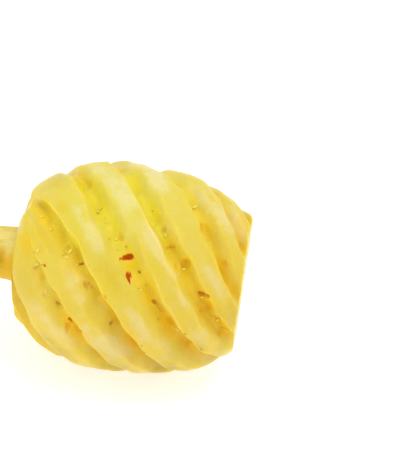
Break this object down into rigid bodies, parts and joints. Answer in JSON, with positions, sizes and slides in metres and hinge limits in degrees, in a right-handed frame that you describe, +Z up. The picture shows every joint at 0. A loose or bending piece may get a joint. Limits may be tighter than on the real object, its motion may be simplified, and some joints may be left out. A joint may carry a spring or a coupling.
{
  "type": "peeled pineapple",
  "caption": "Whole peeled pineapple lying on its side, its eyes cut out along spiral furrows, with rounded ridges between them, a flat crown cut and a short trimmed stalk.",
  "frame": {"origin": "bottom centre of the bounding box, on the surface the fruit lies on", "axes": "+X along the fruit's axis towards the crown cut, -X towards the stalk, +Z up, -Y towards the side the picture shows"},
  "size_m": [0.1533, 0.0905, 0.0892],
  "materials": {
    "flesh": "wet cut fruit flesh, soft sheen",
    "stalk": "pared fibrous stalk, dull"
  },
  "bodies": {
    "root": {"flesh": "flesh", "stalk": "stalk"}
  },
  "joints": []
}
